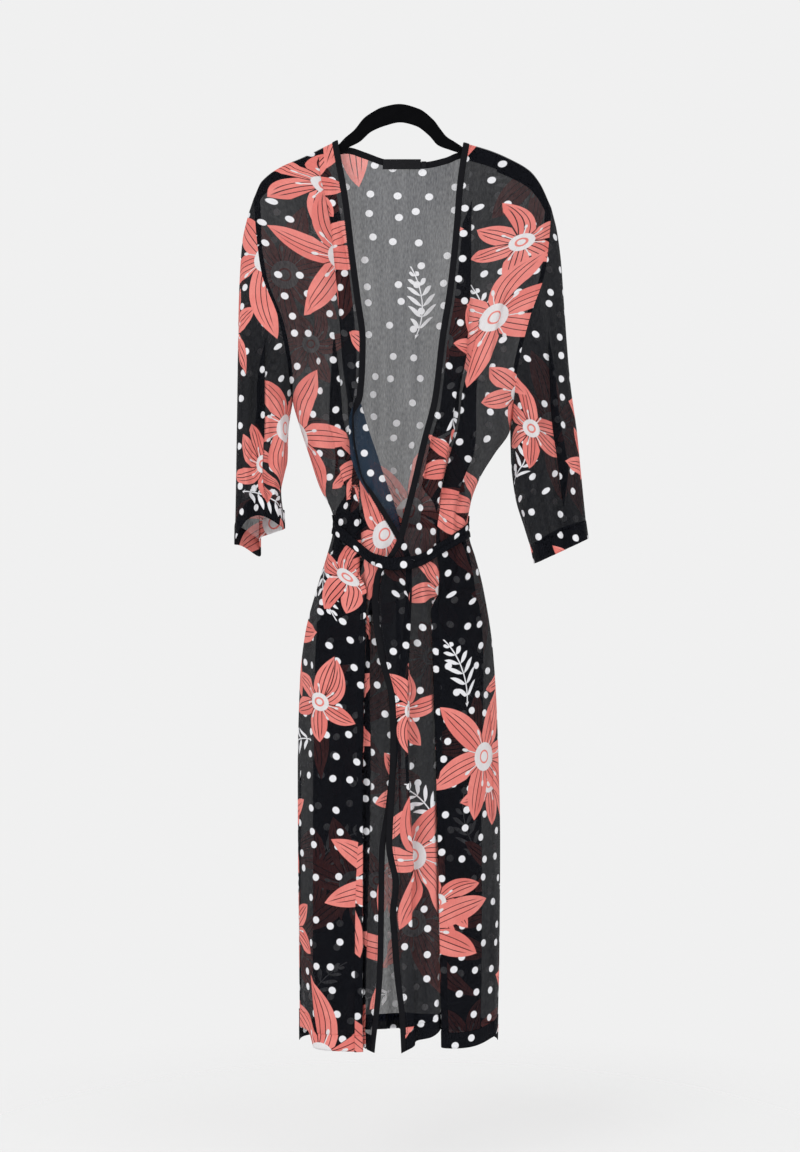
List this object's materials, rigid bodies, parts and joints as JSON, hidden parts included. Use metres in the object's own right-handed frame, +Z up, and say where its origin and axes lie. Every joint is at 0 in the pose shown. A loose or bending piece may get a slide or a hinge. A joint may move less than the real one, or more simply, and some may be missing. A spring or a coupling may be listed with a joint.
{
  "type": "kimono coat on a hanger",
  "caption": "Long sheer wrap kimono coat with wide sleeves, bound front edges and a tied waist belt, hanging flat on a plain flocked hanger.",
  "frame": {"origin": "middle of the underside of the hanger's arch, where a peg or rail carries the hanger", "axes": "+Z up along the hanging coat, +X to the right of someone who looks at its open front, +Y away from them, towards the coat's back"},
  "size_m": [0.4919, 0.1641, 1.3007],
  "materials": {
    "printed_chiffon": "sheer crinkled chiffon",
    "black_binding": "folded matte binding",
    "black_flock": "short flock over plastic",
    "woven_label": "blank woven tape"
  },
  "bodies": {
    "root": {"hanger": "black_flock", "back": "printed_chiffon", "front_left": "printed_chiffon", "front_right": "printed_chiffon", "sleeve_left": "printed_chiffon", "sleeve_right": "printed_chiffon", "cuff_left": "printed_chiffon", "cuff_right": "printed_chiffon", "hem_back": "printed_chiffon", "hem_front_left": "printed_chiffon", "hem_front_right": "printed_chiffon", "edge_binding_left": "black_binding", "edge_binding_right": "black_binding", "neck_binding": "black_binding", "belt_back": "printed_chiffon", "belt_left": "printed_chiffon", "belt_right": "printed_chiffon", "belt_knot": "printed_chiffon", "label": "woven_label", "size_tab": "woven_label"}
  },
  "joints": []
}
